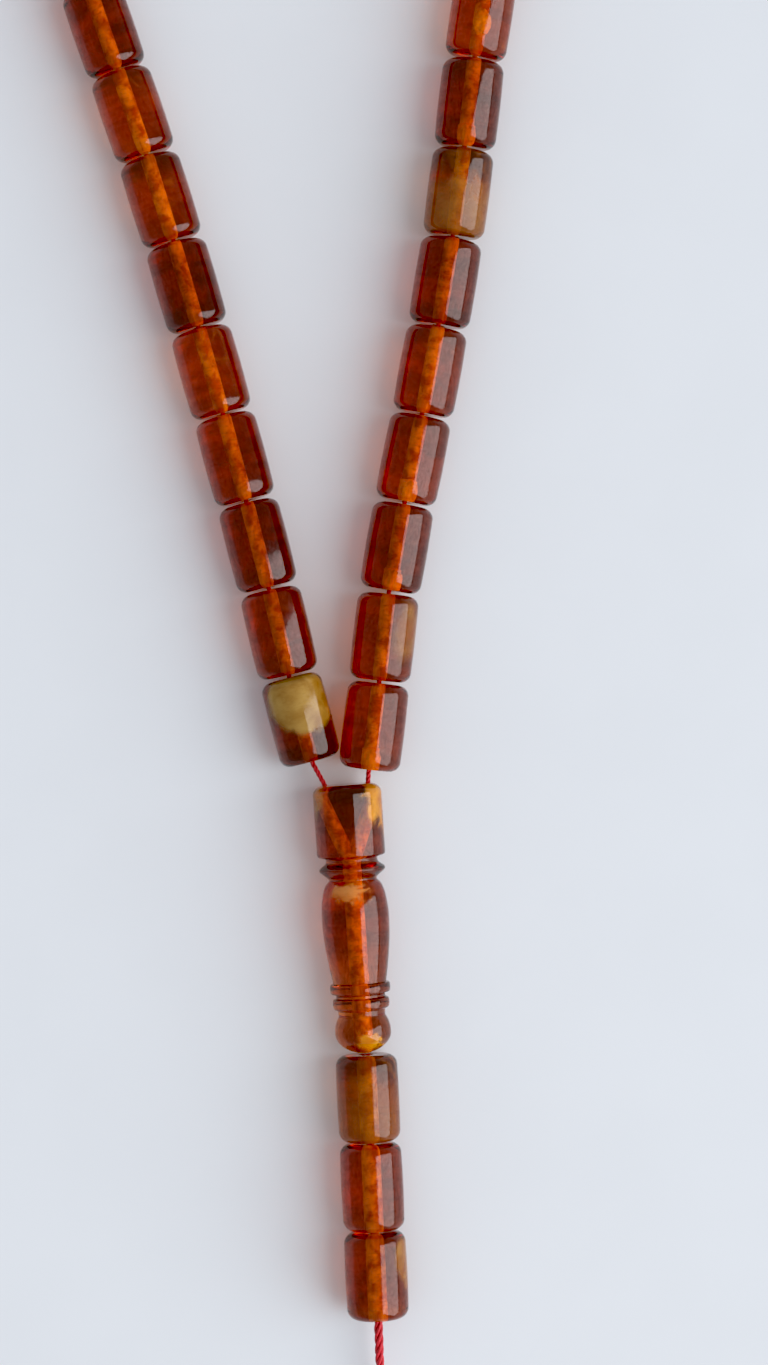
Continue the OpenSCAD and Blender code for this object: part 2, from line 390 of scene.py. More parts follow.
@dataclass(frozen=True)
class InclusionFinish:
    """A milky, opaque cloud caught inside a bead."""

    colour: Colour
    vein: Colour

    def build(self, name: str) -> Material:
        """Makes the material.

        Args:
            name: its name.

        Returns:
            The material.
        """
        s = Shader(name)
        fine = s.clouds(s.place(), 0.9, 6.0, 1.2)
        grain = s.clouds(s.place(), 4.0, 4.0)
        tint = s.mix(fine.between(0.4, 0.62), self.colour, self.vein)
        tint = s.mix(grain.between(0.45, 0.75) * 0.35, tint, tuple(c * 0.55 for c in self.colour))
        return s.finish(s.surface({
            "Base Color": tint, "Roughness": grain * 0.4 + 0.4, "Normal": s.bump(grain, 0.08, 0.7),
            # painted glow: the cloud emits its own tint, so it shines without being lit
            "Emission Color": tint, "Emission Strength": 0.22,
        }))


@dataclass(frozen=True)
class ThreadFinish:
    """Dyed silk thread: fine fibres, a soft sheen and painted shade in the hollows between the fibres."""

    colour: Colour
    # colour of the painted shade in the hollows between fibres
    shade: Colour
    fibre: float = 9.0     # fibres per millimetre
    sheen: float = 0.35

    def build(self, name: str) -> Material:
        """Makes the material.

        Args:
            name: its name.

        Returns:
            The material.
        """
        s = Shader(name)
        fibres = s.clouds(s.place((1, 0.25, 1)), self.fibre, 4.0, 0.3)
        dye = s.clouds(s.place(), 0.35, 3.0)
        # painted shade: the fibre pattern darkens the dye towards the shade colour in the hollows
        tint = s.mix(fibres.between(0.35, 0.68), self.shade, self.colour)
        tint = s.mix(dye.between(0.4, 0.7) * 0.3, tint, tuple(c * 0.7 for c in self.colour))
        return s.finish(s.surface({
            "Base Color": tint, "Roughness": fibres * 0.25 + 0.42,
            "Sheen Weight": self.sheen, "Sheen Roughness": 0.4,
            "Sheen Tint": (1.0, 0.55, 0.55, 1.0), "Normal": s.bump(fibres, 0.035, 0.8),
        }))


@dataclass(frozen=True)
class PaperFinish:
    """A smooth pale sheet with the faintest mottle."""

    colour: Colour = (0.795, 0.832, 0.872)

    def build(self, name: str) -> Material:
        """Makes the material.

        Args:
            name: its name.

        Returns:
            The material.
        """
        s = Shader(name)
        mottle = s.clouds(s.place(), 0.05, 3.0)
        tint = s.mix(mottle.between(0.3, 0.7), self.colour, tuple(c * 0.985 for c in self.colour))
        return s.finish(s.surface({"Base Color": tint, "Roughness": 0.65}))


# ---- mesh tools
def make_piece(name: str, points: Sequence[Vector], faces: Sequence[Sequence[int]],
               materials: Sequence[Material], crease_deg: float = 45.0,
               slots: Union[Sequence[int], None] = None) -> Piece:
    """Makes a mesh object.

    Args:
        name: the piece's name.
        points: its vertices, in metres.
        faces: its faces, as vertex numbers.
        materials: its materials, in slot order.
        crease_deg: edges sharper than this stay sharp.
        slots: the material slot of each face.

    Returns:
        The object, linked to the scene.
    """
    mesh = bpy.data.meshes.new(name)
    mesh.from_pydata([tuple(p) for p in points], [], [tuple(f) for f in faces])
    for material in materials:
        mesh.materials.append(material)
    if slots is not None:
        mesh.polygons.foreach_set("material_index", list(slots))
    mesh.shade_smooth()
    mesh.set_sharp_from_angle(angle=math.radians(crease_deg))
    mesh.update()
    piece = bpy.data.objects.new(name, mesh)
    bpy.context.scene.collection.objects.link(piece)
    return piece


def turned(outline: Outline, segments: int, closed: bool) -> Mesh:
    """Turns an outline about the Z axis.

    Args:
        outline: radius and height pairs, in metres, walked so that the solid lies to the left.
        segments: faces round.
        closed: True joins the last point to the first, as round a bore.

    Returns:
        The points and the faces.
    """
    points: list[Vector] = []
    rings: list[list[int]] = []
    for radius, height in outline:
        if radius <= NOTHING:
            rings.append([len(points)])
            points.append(Vector((0, 0, height)))
            continue
        start = len(points)
        for k in range(segments):
            turn = math.tau * k / segments
            points.append(Vector((radius * math.cos(turn), radius * math.sin(turn), height)))
        rings.append(list(range(start, start + segments)))
    faces: list[list[int]] = []
    for low, high in zip(rings, rings[1:] + (rings[:1] if closed else [])):
        for k in range(segments):
            n = (k + 1) % segments
            if len(low) == 1 and len(high) == 1:
                continue
            if len(low) == 1:
                faces.append([low[0], high[n], high[k]])
            elif len(high) == 1:
                faces.append([low[k], low[n], high[0]])
            else:
                faces.append([low[k], low[n], high[n], high[k]])
    return points, faces


def axis_matrix(origin: Vector, direction: Vector) -> Matrix:
    """The placement whose Z axis points along a direction and whose X axis is level.

    Args:
        origin: its origin.
        direction: its Z axis.

    Returns:
        A 4 by 4 matrix.
    """
    z = direction.normalized()
    x = Vector((0, 0, 1)).cross(z)
    x = x.normalized() if x.length > 1e-6 else Vector((1, 0, 0))
    y = z.cross(x)
    turn = Matrix((x, y, z)).transposed().to_4x4()
    return Matrix.Translation(origin) @ turn


def resample(points: Line, step: float, soften: int = 3) -> list[Vector]:
    """Walks a line at an even step and rounds its corners.

    Args:
        points: the line.
        step: distance between new points.
        soften: smoothing passes.

    Returns:
        The new points, with the same two ends.
    """
    spans = [(b - a).length for a, b in zip(points, points[1:])]
    whole = sum(spans)
    count = max(2, round(whole / step))
    out, span, gone = [], 0, 0.0
    for i in range(count + 1):
        target = whole * i / count
        while span < len(spans) - 1 and gone + spans[span] < target:
            gone += spans[span]
            span += 1
        share = (target - gone) / max(spans[span], 1e-12)
        out.append(points[span].lerp(points[span + 1], min(max(share, 0.0), 1.0)))
    for _ in range(soften):
        out = [out[0]] + [(a + b * 2 + c) / 4 for a, b, c in zip(out, out[1:], out[2:])] + [out[-1]]
    return out


def level_frames(points: Line) -> list[tuple[Vector, Vector]]:
    """Two directions across a line at each of its points.

    Args:
        points: the line.

    Returns:
        A side and an up direction for each point.
    """
    frames = []
    last_side = Vector((1, 0, 0))
    for i in range(len(points)):
        ahead = points[min(i + 1, len(points) - 1)] - points[max(i - 1, 0)]
        ahead.normalize()
        side = last_side - ahead * last_side.dot(ahead) if i else Vector((0, 0, 1)).cross(ahead)
        if side.length < 1e-6:
            side = Vector((1, 0, 0)).cross(ahead)
        side.normalize()
        frames.append((side, ahead.cross(side)))
        last_side = side
    return frames


def swept(lines: Iterable[tuple[Line, Callable[[float], float]]], sides: int) -> Mesh:
    """Round closed tubes along lines, joined into one mesh.

    Args:
        lines: each line with a function that gives its radius at a share of its length.
        sides: faces round each tube.

    Returns:
        The points and the faces.
    """
    points: list[Vector] = []
    faces: list[list[int]] = []
    for line, radius_at in lines:
        base, count = len(points), len(line)
        for i, (side, up) in enumerate(level_frames(line)):
            radius = radius_at(i / (count - 1))
            for k in range(sides):
                turn = math.tau * k / sides
                points.append(line[i] + radius * (math.cos(turn) * side + math.sin(turn) * up))
        for i in range(count - 1):
            for k in range(sides):
                a, b = base + i * sides + k, base + i * sides + (k + 1) % sides
                faces.append([a, b, b + sides, a + sides])
        faces.append([base + k for k in range(sides - 1, -1, -1)])
        faces.append([base + (count - 1) * sides + k for k in range(sides)])
    return points, faces


def dress(piece: Piece, body: str, slot: str, *nodes: str) -> Piece:
    """Hangs a piece on its body and hides the plain solids that it stands for.

    Args:
        piece: the piece.
        body: the body that it moves with.
        slot: not used.
        nodes: the plain solids that it stands for.

    Returns:
        The piece.
    """
    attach(piece, body)
    if nodes:
        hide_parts(*nodes)
    return piece


# ---- where the frame puts things
JOINTS = {joint["child"]: joint for joint in frame["joints"]}
BEAD_COUNT = 33
FIRST_GROUP, SECOND_GROUP = 11, 22


def centre_of(node: str) -> Vector:
    """The middle of a CAD node's box."""
    low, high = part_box(node)
    return (low + high) / 2


def pivot_of(body: str) -> Vector:
    """The point that a body's hinge turns about."""
    return Vector(JOINTS[body]["pos_m"])


def axis_of(body: str) -> Vector:
    """The direction of a body's joint."""
    return Vector(JOINTS[body]["axis"]).normalized()


# ---- beads
@dataclass(frozen=True)
class Cloud:
    """A milky inclusion inside a bead, in the bead's own axes, in millimetres."""

    centre: Triple
    size: Triple
    colour: Colour
    vein: Colour
    rough: float = 0.35

    def build(self, name: str, holder: Piece, bore_mm: float, limit_mm: float,
              half_mm: float) -> None:
        """Makes the blob and hangs it on its bead.

        Args:
            name: the piece's name.
            holder: the bead it sits in.
            bore_mm: radius that it keeps clear of.
            limit_mm: radius that it stays inside.
            half_mm: how far it may reach along the bead.
        """
        rows, columns = 28, 44
        shift = Vector((hash_of(name) % 17, hash_of(name) % 13, hash_of(name) % 11))
        outline = [(math.sin(math.pi * i / rows), -math.cos(math.pi * i / rows)) for i in range(rows + 1)]
        points, faces = turned(outline, columns, False)
        shaped = []
        for p in points:
            swell = 1 + self.rough * (noise.noise(p * 1.7 + shift) + 0.45 * noise.noise(p * 4.6 + shift))
            q = Vector(tuple(c + s * v * swell for c, s, v in zip(self.centre, self.size, p)))
            reach = math.hypot(q.x, q.y)
            kept = min(max(reach, bore_mm), limit_mm)
            q.x, q.y = q.x * kept / max(reach, 1e-6), q.y * kept / max(reach, 1e-6)
            q.z = min(max(q.z, -half_mm), half_mm)
            shaped.append(q * MM)
        blob = make_piece(name, shaped, faces, [InclusionFinish(self.colour, self.vein).build(name)], 80)
        blob.parent = holder


def hash_of(name: str) -> int:
    """A small repeatable number from a name."""
    return sum((i + 1) * ord(letter) for i, letter in enumerate(name))


@dataclass(frozen=True)
class Look:
    """How one bead differs from its neighbours."""

    amber: Amber
    dark_end: float = 0.0
    clouds: tuple[Cloud, ...] = ()
    patches: tuple[Patch, ...] = ()
    # strength of the painted glow on this bead's bore wall
    glow: float = 0.125


@dataclass
class BarrelBead:
    """A turned barrel bead with softly rounded rims and a drilled bore."""

    node: str
    look: Look
    diameter: float = 8.0
    length: float = 11.1
    bore: float = 1.2
    rim_round: float = 1.35
    swell: float = 0.06
    lip: float = 0.15
    segments: int = 96

    def outline(self) -> Outline:
        """The closed outline, from the bore's top mouth round the rim and back up the bore.

        Returns:
            Radius and height pairs in metres.
        """
        half = self.length / 2
        shoulder = self.diameter / 2 - self.swell
        face = [(self.bore / 2, half - self.lip), (self.bore / 2 + self.lip, half - 0.02)]
        face += [(r, half) for r in (self.bore / 2 + self.lip * 1.6, shoulder - self.rim_round)]
        steps = 9
        for i in range(1, steps + 1):
            turn = math.pi / 2 * i / steps
            face.append((shoulder - self.rim_round * (1 - math.sin(turn)),
                         half - self.rim_round * (1 - math.cos(turn))))
        side = [(shoulder + self.swell * math.cos(math.pi / 2 * t), (half - self.rim_round) * t)
                for t in (0.75, 0.5, 0.25, 0.0)]
        upper = face + side
        lower = [(r, -z) for r, z in reversed(upper[:-1])]
        wall = [(self.bore / 2, -(half - self.lip) * (1 - 2 * i / 6)) for i in range(1, 6)]
        return [(r * MM, z * MM) for r, z in reversed(upper + lower + wall)]

    def build(self) -> Piece:
        """Makes the bead and what is inside it.

        Returns:
            The bead.
        """
        points, faces = turned(self.outline(), self.segments, True)
        inside = (self.bore / 2 + 0.01) * MM
        slots = [int(all(math.hypot(points[v].x, points[v].y) < inside for v in f)) for f in faces]
        amber = AmberFinish(self.look.amber.value, hash_of(self.node) % 97 / 3.7, self.look.dark_end,
                            self.length / 2, patches=self.look.patches).build(f"amber_{self.node}")
        bore = BoreFinish(seed=hash_of(self.node) % 89 / 5.1, glow=self.look.glow)
        wall = bore.build(f"bore_{self.node}")
        bead = make_piece(f"{self.node}_amber", points, faces, [amber, wall], 50, slots)
        bead.matrix_world = axis_matrix(centre_of(self.node), axis_of(self.node))
        pale = self.look.amber in (Amber.HONEY, Amber.OCHRE)
        dress(bead, self.node, "amber_honey" if pale else "amber_red", self.node)
        for i, cloud in enumerate(self.look.clouds):
            cloud.build(f"{self.node}_cloud_{i + 1}", bead, self.bore / 2 + 0.12,
                        self.diameter / 2 - 0.3, self.length / 2 - 0.5)
        return bead


# ---- imam
IMAM_RUN = Vector((2.3, -34.3, -0.35)) * MM     # from the imam's top to its tip


def sine(degrees: float) -> float:
    """The sine of an angle in degrees."""
    return math.sin(math.radians(degrees))


def cosine(degrees: float) -> float:
    """The cosine of an angle in degrees."""
    return math.cos(math.radians(degrees))


@dataclass
class ImamBead:
    """The long turned bead that gathers both ends of the strand."""

    radius: float = 4.4
    length: float = 34.4
    head: float = 9.2
    mouth: float = 2.75
    meet: float = 9.8
    slant_bore: float = 1.35
    core_bore: float = 1.6
    segments: int = 128

    def outline(self) -> Outline:
        """The turned outline, from the top's middle to the tip's.

        Returns:
            Radius and distance from the top, in millimetres.
        """
        r = self.radius
        turns = [math.pi / 2 * i / 9 for i in range(1, 10)]
        head = [(0, 0), (r - 1.5, 0)]
        head += [(r - 1.5 + 1.5 * math.sin(t), 1.2 * (1 - math.cos(t))) for t in turns]
        head += [(r, 3), (r - 0.02, self.head - 0.35), (r - 0.08, self.head - 0.12),
                 (r - 0.25, self.head), (3.42, self.head + 0.2), (3.33, self.head + 0.32)]
        collar = [(3.3, 9.7), (3.34, 9.95), (3.5, 10.15), (4.05, 10.53), (4.2, 10.7), (4.25, 10.87),
                  (4.2, 11.03), (4.06, 11.2), (3.5, 11.66), (3.2, 11.9), (3.08, 12.05)]
        vase = [(3.05, 12.25)]
        vase += [(3.05 + 1.27 * sine(a), 17.2 - 4.8 * cosine(a)) for a in range(20, 91, 7)]
        vase += [(3.4 + 0.92 * cosine(a * 1.5), 17.2 + 8.2 * a / 60) for a in range(5, 61, 5)]
        rings = [(3.5, 25.42), (3.75, 25.5), (3.84, 25.66), (3.87, 26.1), (3.84, 26.5),
                 (3.7, 26.7), (3.3, 26.82), (3.15, 26.95), (3.15, 27.25), (3.3, 27.36),
                 (3.5, 27.43), (3.6, 27.62), (3.64, 28.05), (3.6, 28.45), (3.45, 28.7),
                 (3.15, 28.82), (3.02, 28.95), (3.0, 29.25)]
        ball = [(3.6 * cosine(a * 0.68), 31.8 + 2.75 * sine(a)) for a in range(-50, 1, 5)]
        ball += [(3.6 * cosine(a), 31.8 + (self.length - 31.8) * sine(a)) for a in range(6, 76, 6)]
        return head + collar + vase + rings + ball + [(0.9, self.length), (0, self.length)]

    def cutter(self, name: str, start: Vector, finish: Vector, bore: float,
               wall: Material) -> Piece:
        """A rod to drill with.

        Args:
            name: its name.
            start: one end, in millimetres in the imam's axes.
            finish: the other end.
            bore: its diameter.
            wall: the finish that it leaves.

        Returns:
            The rod.
        """
        reach = (finish - start).length
        points, faces = turned([(0, 0), (bore / 2, 0), (bore / 2, reach), (0, reach)], 32, False)
        place = axis_matrix(start, finish - start)
        return make_piece(name, [place @ p * MM for p in points], faces, [wall])

    def build(self) -> Piece:
        """Turns the bead and drills it.

        Returns:
            The bead.
        """
        points, faces = turned([(r * MM, z * MM) for r, z in self.outline()], self.segments, False)
        tone = Tone((0.42, 0.19, 0.05), (1.0, 0.72, 0.26), (0.91, 0.56, 0.04), 480,
                    (0.28, 0.05, 0.003), 0.15)
        gold, straw = (0.48, 0.14, 0.004), (0.78, 0.36, 0.03)
        flame, peach = (0.56, 0.13, 0.006), (0.78, 0.33, 0.09)
        patches = (Patch((3.6, 1.6, 1.2), (1.8, 3.2, 4.4), gold, straw, 0.8, 1.0, 0.3),
                   Patch((-3.9, 1.2, 1.5), (1.0, 2.6, 2.2), gold, straw, 0.4, 0.9, 0.3),
                   Patch((-0.5, 3.2, 13.8), (2.0, 1.6, 1.3), flame, peach, 0.75, 1.2, 0.4, 0.8),
                   Patch((1.0, 2.8, 32.7), (1.5, 1.8, 1.2), gold, straw, 0.8, 1.3, 0.35, 1.0))
        amber = AmberFinish(tone, 4.2, -1.0, self.length / 2, 12.0, patches).build("amber_imam")
        # the imam's bore wall takes a painted glow too
        wall = BoreFinish((0.96, 0.52, 0.07), glow=0.12).build("bore_imam")
        blank = make_piece("imam_blank", points, [f[::-1] for f in faces], [amber, wall], 38)
        meet, past_mouth = Vector((0, 0, self.meet)), 1.25
        rods = [self.cutter("core_drill", Vector((0, 0, self.meet - 0.5)), Vector((0, 0, self.length + 2)),
                            self.core_bore, wall)]
        for way in (-1, 1):
            mouth = Vector((way * self.mouth, 0, 0))
            rods.append(self.cutter(f"slant_drill_{way + 2}", meet, meet + (mouth - meet) * past_mouth,
                                    self.slant_bore, wall))
        for rod in rods:
            cut = blank.modifiers.new(rod.name, "BOOLEAN")
            cut.operation, cut.solver, cut.object = "DIFFERENCE", "EXACT", rod
            cut.material_mode = "TRANSFER"
        bpy.context.view_layer.update()
        cut_blank = blank.evaluated_get(bpy.context.evaluated_depsgraph_get())
        drilled = bpy.data.meshes.new_from_object(cut_blank)
        drilled.name = "imam_amber"
        imam = bpy.data.objects.new("imam_amber", drilled)
        bpy.context.scene.collection.objects.link(imam)
        for spent in rods + [blank]:
            bpy.data.objects.remove(spent)
        drilled.shade_smooth()
        drilled.set_sharp_from_angle(angle=math.radians(38))
        imam.matrix_world = axis_matrix(pivot_of("strand"), IMAM_RUN)
        return dress(imam, "imam", "amber_red", "imam")


# ---- cords
def around(line: Line, count: int, radius: float, pitch: float, phase: float = 0.0) -> list[list[Vector]]:
    """Helical lines laid round a line, as plies are.

    Args:
        line: the centre, evenly sampled.
        count: how many plies.
        radius: their distance from the centre.
        pitch: length of one turn.
        phase: starting angle.

    Returns:
        One line for each ply.
    """
    frames = level_frames(line)
    gone = [0.0]
    for a, b in zip(line, line[1:]):
        gone.append(gone[-1] + (b - a).length)
    plies = []
    for ply in range(count):
        ply_line = []
        for point, (side, up), run in zip(line, frames, gone):
            turn = phase + math.tau * (ply / count + run / pitch)
            ply_line.append(point + radius * (math.cos(turn) * side + math.sin(turn) * up))
        plies.append(ply_line)
    return plies


@dataclass
class CordMaker:
    """Lays twisted cord along the routes that the frame gives."""

    thin: float = 0.65
    pair: float = 1.15
    thin_pitch: float = 2.1
    pair_pitch: float = 5.4
    step: float = 0.16
    finish: Material = field(default=None)

    def plied(self, name: str, line: Line, count: int, cord: float, ply: float, pitch: float,
              before: float = 0.0) -> Piece:
        """A cord of plies laid round its route.

        Args:
            name: the piece's name.
            line: its route, in metres.
            count: how many plies.
            cord: its diameter.
            ply: a ply's radius, as a share of that diameter.
            pitch: length of one turn.
            before: metres of the same cord before this stretch, which set the twist's phase.

        Returns:
            The piece.
        """
        radius = cord * ply * MM
        phase = math.tau * before / (pitch * MM)
        lines = around(resample(line, self.step * MM), count, cord / 2 * MM - radius, pitch * MM, phase)
        points, faces = swept([(route, lambda share: radius) for route in lines], 7)
        return make_piece(name, points, faces, [self.finish], 70)

    def thin_cord(self, name: str, line: Line) -> Piece:
        """The loop's cord, of three plies."""
        return self.plied(name, line, 3, self.thin, 0.27, self.thin_pitch)

    def paired_cord(self, name: str, line: Line, before: float = 0.0) -> Piece:
        """Both ends of the cord laid together, of four plies."""
        return self.plied(name, line, 4, self.pair, 0.215, self.pair_pitch, before)


def strung_order() -> list[str]:
    """The strand's pieces in the order they are strung."""
    beads = [f"bead_{i:02d}" for i in range(1, BEAD_COUNT + 1)]
    return (beads[:FIRST_GROUP] + ["divider_left"] + beads[FIRST_GROUP:SECOND_GROUP]
            + ["divider_right"] + beads[SECOND_GROUP:])


def ends_of(node: str, length: float) -> tuple[Vector, Vector]:
    """The two mouths of a strung piece of this length, the nearer to the strand's start first."""
    reach = axis_of(node) * (length / 2)
    return centre_of(node) - reach, centre_of(node) + reach


# The free end of the cord, from the last tail bead to the knot, laid out from the imam's top (mm).
TAIL_ROUTE = [
    (4.1, -68.4, 4), (4.1, -70, 4), (4.2, -71.6, 4), (4.2, -73, 3.9), (4.3, -74.4, 3.6),
    (4.3, -75.8, 3.2), (4.3, -77.2, 2.6), (4.3, -78.6, 2), (4.2, -80, 1.5), (4.1, -81.6, 1.1),
    (4, -83.4, 0.8), (3.8, -85.4, 0.6), (3.6, -88, 0.6), (3.3, -91, 0.6), (3.1, -94, 0.6),
    (2.9, -96.6, 0.8), (2.8, -98.8, 1.4), (2.7, -100.6, 2.2), (2.6, -102.2, 2.8), (2.5, -103.8, 3)]


def dress_cords() -> None:
    """Lays every stretch of the cord.
    """
    red = ThreadFinish((0.78, 0.03, 0.06), (0.36, 0.004, 0.012)).build("cord_red_ply")
    maker = CordMaker(finish=red)
    bead_l, divider_l = BarrelBead.length * MM, Divider.length * MM
    route: list[Vector] = []
    for node in strung_order():
        route += ends_of(node, divider_l if node.startswith("divider") else bead_l)
    dress(maker.thin_cord("strand_cord", route), "strand", "cord_red", "loop_cord")

    place = axis_matrix(pivot_of("strand"), IMAM_RUN)
    imam = ImamBead()
    meet = place @ (Vector((0, 0, imam.meet)) * MM)
    for side, way, mouth_end in (("left", -1, route[0]), ("right", 1, route[-1])):
        mouth = place @ (Vector((way * imam.mouth, 0, 0)) * MM)
        inward = (meet - mouth).normalized()
        into_bead = (route[1] - route[0]) if side == "left" else (route[-2] - route[-1])
        line = [mouth_end + into_bead.normalized() * 1.2 * MM, mouth_end,
                mouth_end.lerp(mouth, 0.8), mouth, mouth + inward * 3 * MM]
        leg = maker.thin_cord(f"cord_leg_{side}", line)
        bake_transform(leg)
        inner = maker.thin_cord(f"cord_inner_{side}", [mouth + inward * 2.9 * MM, meet])
        dress(inner, "imam", "cord_red", "imam_cord")
    core = maker.paired_cord("imam_pair", [meet, place @ (Vector((0, 0, imam.length - 0.1)) * MM)])
    dress(core, "imam", "cord_red")

    first, last = ends_of("tail_bead_1", bead_l)[0], ends_of("tail_bead_3", bead_l)[1]
    dress(maker.paired_cord("tail_pair", [first, last]), "tail", "cord_red", "tail_core")

    origin = pivot_of("strand")
    path = [Vector((origin.x + x * MM, origin.y + y * MM, z * MM)) for x, y, z in TAIL_ROUTE]
    free = maker.paired_cord("tail_cord_twist", path, (last - first).length)
    dress(free, "tail", "cord_red", "tail_cord")
    maker.pair * MM


# ---- tassel
@dataclass
class Tassel:
    """The knot, the wound head, its binding and the loose strands."""

    knot: float = 3.0
    head_from: float = 1.2
    head: float = 7.0
    head_d: float = 6.0
    neck: float = 2.4
    neck_d: float = 5.2
    skirt: float = 42.0
    skirt_d: float = 8.4
    skirt_flat: float = 0.78        # height of the lying skirt's end, as a share of its width
    strand: float = 0.36
    outer: int = 76
    inner: int = 110

    def at(self, across: float, along: float, up: float) -> Vector:
        """The point this many millimetres right of, beyond and above the knot's centre."""
        return pivot_of("tassel") + Vector((across, -along, up)) * MM

    def strand_line(self, turn: float, share: float, loose: random.Random) -> list[Vector]:
        """One strand, from over the head to its loose end.

        Args:
            turn: where round the tassel it lies.
            share: how far out it lies, from 0 to 1.
            loose: the source of its waywardness.

        Returns:
            Its route.
        """
        start, neck_at = self.head_from, self.head_from + self.head
        neck_r = self.neck_d / 2 - 0.65
        most = self.head_d / 2 - self.strand / 2
        crown, eye = 0.15, 0.25     # how far down the head starts, and the hole in its middle
        line = []
        for i in range(13):
            t = i / 12
            bulge = math.sin(math.pi * (0.06 + 0.94 * t) ** 0.75) ** 0.72
            r = (eye + (most - eye) * bulge) * (1 - t) + max(neck_r, most * bulge) * t
            r = min(r, most) * share
            line.append(self.at(r * math.cos(turn), start + crown + (self.head - crown) * t,
                                r * math.sin(turn)))
        r = neck_r * share
        line.append(self.at(r * math.cos(turn), neck_at + self.neck / 2, r * math.sin(turn)))
        drift, curl, off = loose.uniform(-0.5, 0.5), loose.uniform(2.2, 4.5), loose.uniform(0, 9)
        cut = self.skirt * loose.uniform(0.965, 0.995)
        skirt_from = neck_at + self.neck
        drop = pivot_of("tassel").z / MM
        for i in range(27):
            t = i / 26
            spread = 1 - (1 - t) ** 2.2
            wide = neck_r + (self.skirt_d / 2 - neck_r) * spread
            tall = neck_r + (self.skirt_d / 2 * self.skirt_flat - neck_r) * spread
            middle = max(0.0, tall + 0.05 - drop)
            wave = 0.22 * t * math.sin(curl * t * math.tau * 0.5 + off)
            x = (wide * share + wave) * math.cos(turn) + drift * t + 0.5 * math.sin(2.1 * t) * t
            z = middle + (tall * share + wave) * math.sin(turn)
            z = max(z, self.strand / 2 + 0.02 - drop)
            line.append(self.at(x, skirt_from + cut * t, z))
        return line

    def build_strands(self, silk: Material) -> Piece:
        """Lays every strand, over the head and loose below.

        Args:
            silk: their finish.

        Returns:
            The piece.
        """
        loose = random.Random(11)
        radius = self.strand / 2 * MM
        lines = []
        for i in range(self.outer):
            turn = math.tau * i / self.outer + loose.uniform(-0.02, 0.02)
            lines.append(self.strand_line(turn, 1.0, loose))
        for _ in range(self.inner):
            turn, share = loose.uniform(0, math.tau), loose.uniform(0.05, 0.92) ** 0.5
            lines.append(self.strand_line(turn, share, loose))

        def thread(share: float) -> float:
            """The strand's radius at a share of its length."""
            return radius * (1 - 0.25 * max(0.0, share - 0.9) / 0.1)

        points, faces = swept([(line, thread) for line in lines], 6)
        return make_piece("tassel_strands", points, faces, [silk], 70)

    def build_binding(self, thread: Material) -> Piece:
        """Winds the binding round the neck.

        Args:
            thread: its finish.

        Returns:
            The piece.
        """
        turns, steps = 6, 32
        wire = self.neck / turns / 2
        reach, start = self.neck_d / 2 - wire, self.head_from + self.head + wire
        line = []
        for i in range(turns * steps + 1):
            turn = math.tau * i / steps
            along = start + (self.neck - 2 * wire) * i / (turns * steps)
            line.append(self.at(reach * math.cos(turn), along, reach * math.sin(turn)))
        lines = around(resample(line, 0.12 * MM, 0), 2, wire * 0.42 * MM, 0.9 * MM)
        points, faces = swept([(ply, lambda share: wire * 0.6 * MM) for ply in lines], 7)
        return make_piece("tassel_binding_thread", points, faces, [thread], 70)

    def build_knot(self, red: Material) -> Piece:
        """Ties the stopper knot in the doubled cord.

        Args:
            red: the cord's finish.

        Returns:
            The piece.
        """
        size = self.knot * 0.105
        line = []
        steps = 150
        for i in range(steps + 1):
            t = math.tau * i / steps
            reach = 2 + math.cos(3 * t)
            line.append(self.at(size * reach * math.cos(2 * t), size * 1.1 * reach * math.sin(2 * t),
                                size * 1.9 * math.sin(3 * t)))
        lines = around(resample(line, 0.1 * MM, 1), 3, 0.2 * MM, 1.5 * MM)
        lines.append([self.at(0, -self.knot / 2, 0), self.at(0, 0, 0), self.at(0, self.head_from + 0.6, 0)])
        points, faces = swept([(ply, lambda share: 0.25 * MM) for ply in lines[:3]]
                              + [(lines[3], lambda share: 0.5 * MM)], 8)
        return make_piece("cord_knot", points, faces, [red], 70)

    def build(self) -> list[Piece]:
        """Makes the tassel.

        Returns:
            Its pieces.
        """
        silk = ThreadFinish((0.60, 0.012, 0.03), (0.16, 0.002, 0.006), 7.0, 0.6).build("tassel_silk_strand")
        dark = ThreadFinish((0.38, 0.006, 0.018), (0.10, 0.001, 0.004), 9.0, 0.4).build("binding_thread_dark")
        made = [
            (self.build_knot(silk), ("end_knot",), "cord_red"),
            (self.build_strands(silk), ("tassel_head", "tassel_skirt"), "tassel_silk"),
            (self.build_binding(dark), ("tassel_binding",), "binding_thread"),
        ]
        return [dress(piece, "tassel", slot, *nodes) for piece, nodes, slot in made]


# ---- dividers
@dataclass
class Divider(BarrelBead):
    """A thin disc that parts one group of beads from the next."""

    diameter: float = 7.4
    length: float = 3.2
    rim_round: float = 1.0


